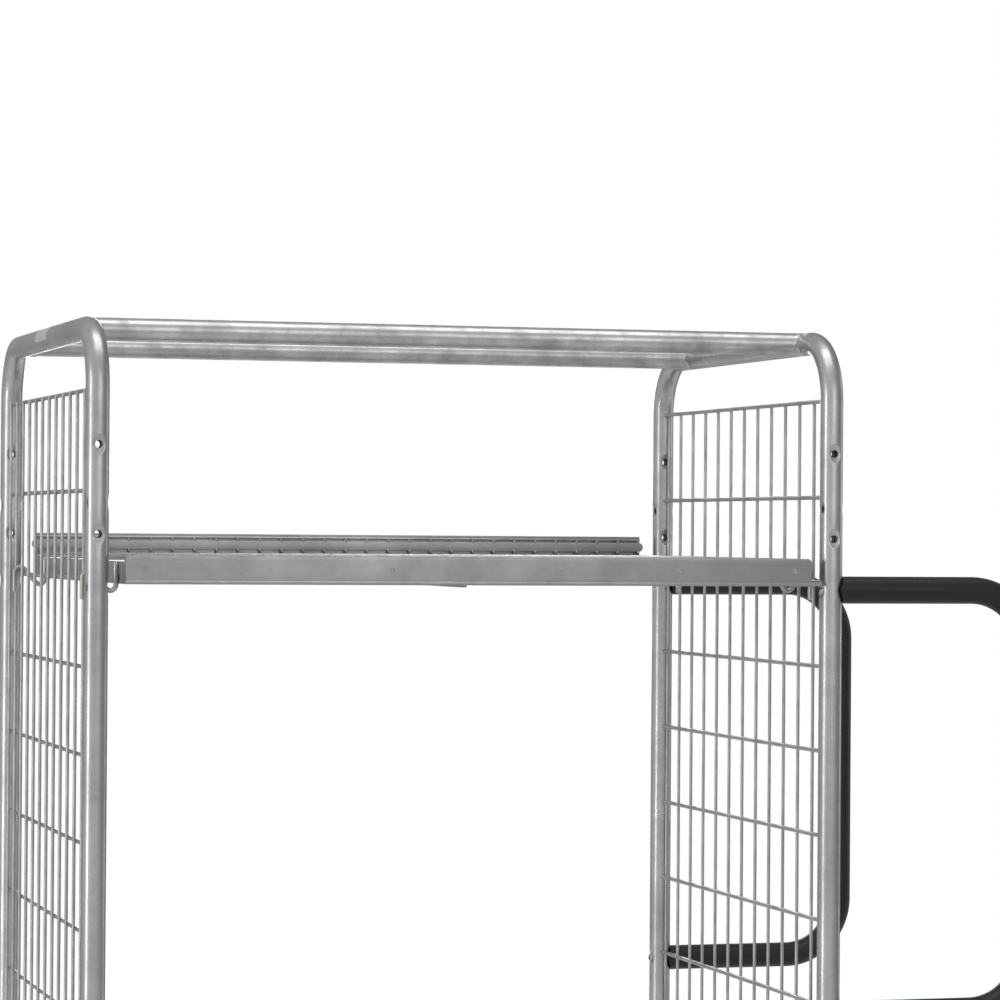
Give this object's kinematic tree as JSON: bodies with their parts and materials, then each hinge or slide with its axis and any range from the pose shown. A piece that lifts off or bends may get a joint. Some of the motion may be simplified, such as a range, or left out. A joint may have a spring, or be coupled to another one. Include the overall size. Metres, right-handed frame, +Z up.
{
  "type": "roll cage container",
  "caption": "Tall galvanised tube trolley with two wire mesh ends, open front and back, a hook-on wire shelf, black push handles and castors.",
  "frame": {"origin": "on the floor, at the centre of the whole outline seen from above", "axes": "+Z up, +X towards the push handles, -Y the loading front"},
  "size_m": [1.156, 0.655, 1.65],
  "materials": {
    "galvanised_tube": "hot-dip galvanised",
    "galvanised_wire": "hot-dip galvanised",
    "galvanised_rail": "hot-dip galvanised",
    "galvanised_sheet": "dull galvanised",
    "black_tube": "satin black powder coat",
    "plated_fastener": "bright zinc plated",
    "castor_steel": "bright zinc plated",
    "wheel_plastic": "moulded",
    "bush_plastic": "turned",
    "tyre_rubber": "grey non-marking rubber",
    "pedal_steel": "red powder coat"
  },
  "bodies": {
    "trolley": {"left_end_frame": "galvanised_tube", "right_end_frame": "galvanised_tube", "left_end_mesh": "galvanised_wire", "right_end_mesh": "galvanised_wire", "top_tube_front": "galvanised_tube", "top_tube_rear": "galvanised_tube", "deck": "galvanised_sheet", "castor_bolts": "plated_fastener", "base_rail_front": "galvanised_rail", "base_rail_rear": "galvanised_rail", "base_rail_left": "galvanised_rail", "base_rail_right": "galvanised_rail", "base_cross_rail": "galvanised_rail", "push_handle_front": "black_tube", "handle_plugs_front": "plated_fastener", "handle_bolts_front": "plated_fastener", "push_handle_rear": "black_tube", "handle_plugs_rear": "plated_fastener", "handle_bolts_rear": "plated_fastener", "castor_pad_front_left": "galvanised_sheet", "castor_pad_rear_left": "galvanised_sheet", "castor_pad_front_right": "galvanised_sheet", "castor_pad_rear_right": "galvanised_sheet", "fixed_bracket_front_left": "castor_steel", "axle_front_left": "plated_fastener", "fixed_bracket_rear_left": "castor_steel", "axle_rear_left": "plated_fastener", "swivel_plate_front_right": "castor_steel", "king_pin_front_right": "castor_steel", "swivel_plate_rear_right": "castor_steel", "king_pin_rear_right": "castor_steel"},
    "shelf": {"shelf_front_rail": "galvanised_sheet", "shelf_rear_rail": "galvanised_sheet", "shelf_left_side": "galvanised_sheet", "shelf_right_side": "galvanised_sheet", "shelf_mesh": "galvanised_wire", "shelf_rear_strip": "galvanised_sheet", "shelf_stiffener": "galvanised_sheet", "hook_front_left": "galvanised_wire", "hook_rear_left": "galvanised_wire", "hook_front_right": "galvanised_wire", "hook_rear_right": "galvanised_wire"},
    "wheel_front_left": {"bush_front_left": "bush_plastic", "wheel_centre_front_left": "wheel_plastic", "tyre_front_left": "tyre_rubber"},
    "wheel_rear_left": {"bush_rear_left": "bush_plastic", "wheel_centre_rear_left": "wheel_plastic", "tyre_rear_left": "tyre_rubber"},
    "wheel_front_right": {"bush_front_right": "bush_plastic", "wheel_centre_front_right": "wheel_plastic", "tyre_front_right": "tyre_rubber"},
    "fork_front_right": {"swivel_fork_front_right": "castor_steel", "axle_front_right": "plated_fastener"},
    "pedal_front_right": {"brake_pedal_front_right": "pedal_steel"},
    "wheel_rear_right": {"bush_rear_right": "bush_plastic", "wheel_centre_rear_right": "wheel_plastic", "tyre_rear_right": "tyre_rubber"},
    "fork_rear_right": {"swivel_fork_rear_right": "castor_steel", "axle_rear_right": "plated_fastener"},
    "pedal_rear_right": {"brake_pedal_rear_right": "pedal_steel"}
  },
  "joints": [
    {"name": "shelf_lift", "type": "slide", "parent": "trolley", "child": "shelf", "axis": [0, 0, 1], "range_m": [0, 0.05]},
    {"name": "wheel_spin_front_left", "type": "hinge", "parent": "trolley", "child": "wheel_front_left", "pos_m": [-0.5025, -0.2595, 0.0625], "axis": [0, 1, 0], "continuous": true},
    {"name": "wheel_spin_rear_left", "type": "hinge", "parent": "trolley", "child": "wheel_rear_left", "pos_m": [-0.5025, 0.2595, 0.0625], "axis": [0, 1, 0], "continuous": true},
    {"name": "swivel_front_right", "type": "hinge", "parent": "trolley", "child": "fork_front_right", "pos_m": [0.2465, -0.2595, 0.14], "axis": [0, 0, 1], "continuous": true},
    {"name": "pedal_front_right", "type": "hinge", "parent": "fork_front_right", "child": "pedal_front_right", "pos_m": [0.2105, -0.2595, 0.1326], "axis": [0, -1, 0], "range_deg": [0, 12]},
    {"name": "wheel_spin_front_right", "type": "hinge", "parent": "fork_front_right", "child": "wheel_front_right", "pos_m": [0.2085, -0.2595, 0.0625], "axis": [0, 1, 0], "continuous": true},
    {"name": "swivel_rear_right", "type": "hinge", "parent": "trolley", "child": "fork_rear_right", "pos_m": [0.2465, 0.2595, 0.14], "axis": [0, 0, 1], "continuous": true},
    {"name": "pedal_rear_right", "type": "hinge", "parent": "fork_rear_right", "child": "pedal_rear_right", "pos_m": [0.2105, 0.2595, 0.1326], "axis": [0, -1, 0], "range_deg": [0, 12]},
    {"name": "wheel_spin_rear_right", "type": "hinge", "parent": "fork_rear_right", "child": "wheel_rear_right", "pos_m": [0.2085, 0.2595, 0.0625], "axis": [0, 1, 0], "continuous": true}
  ]
}
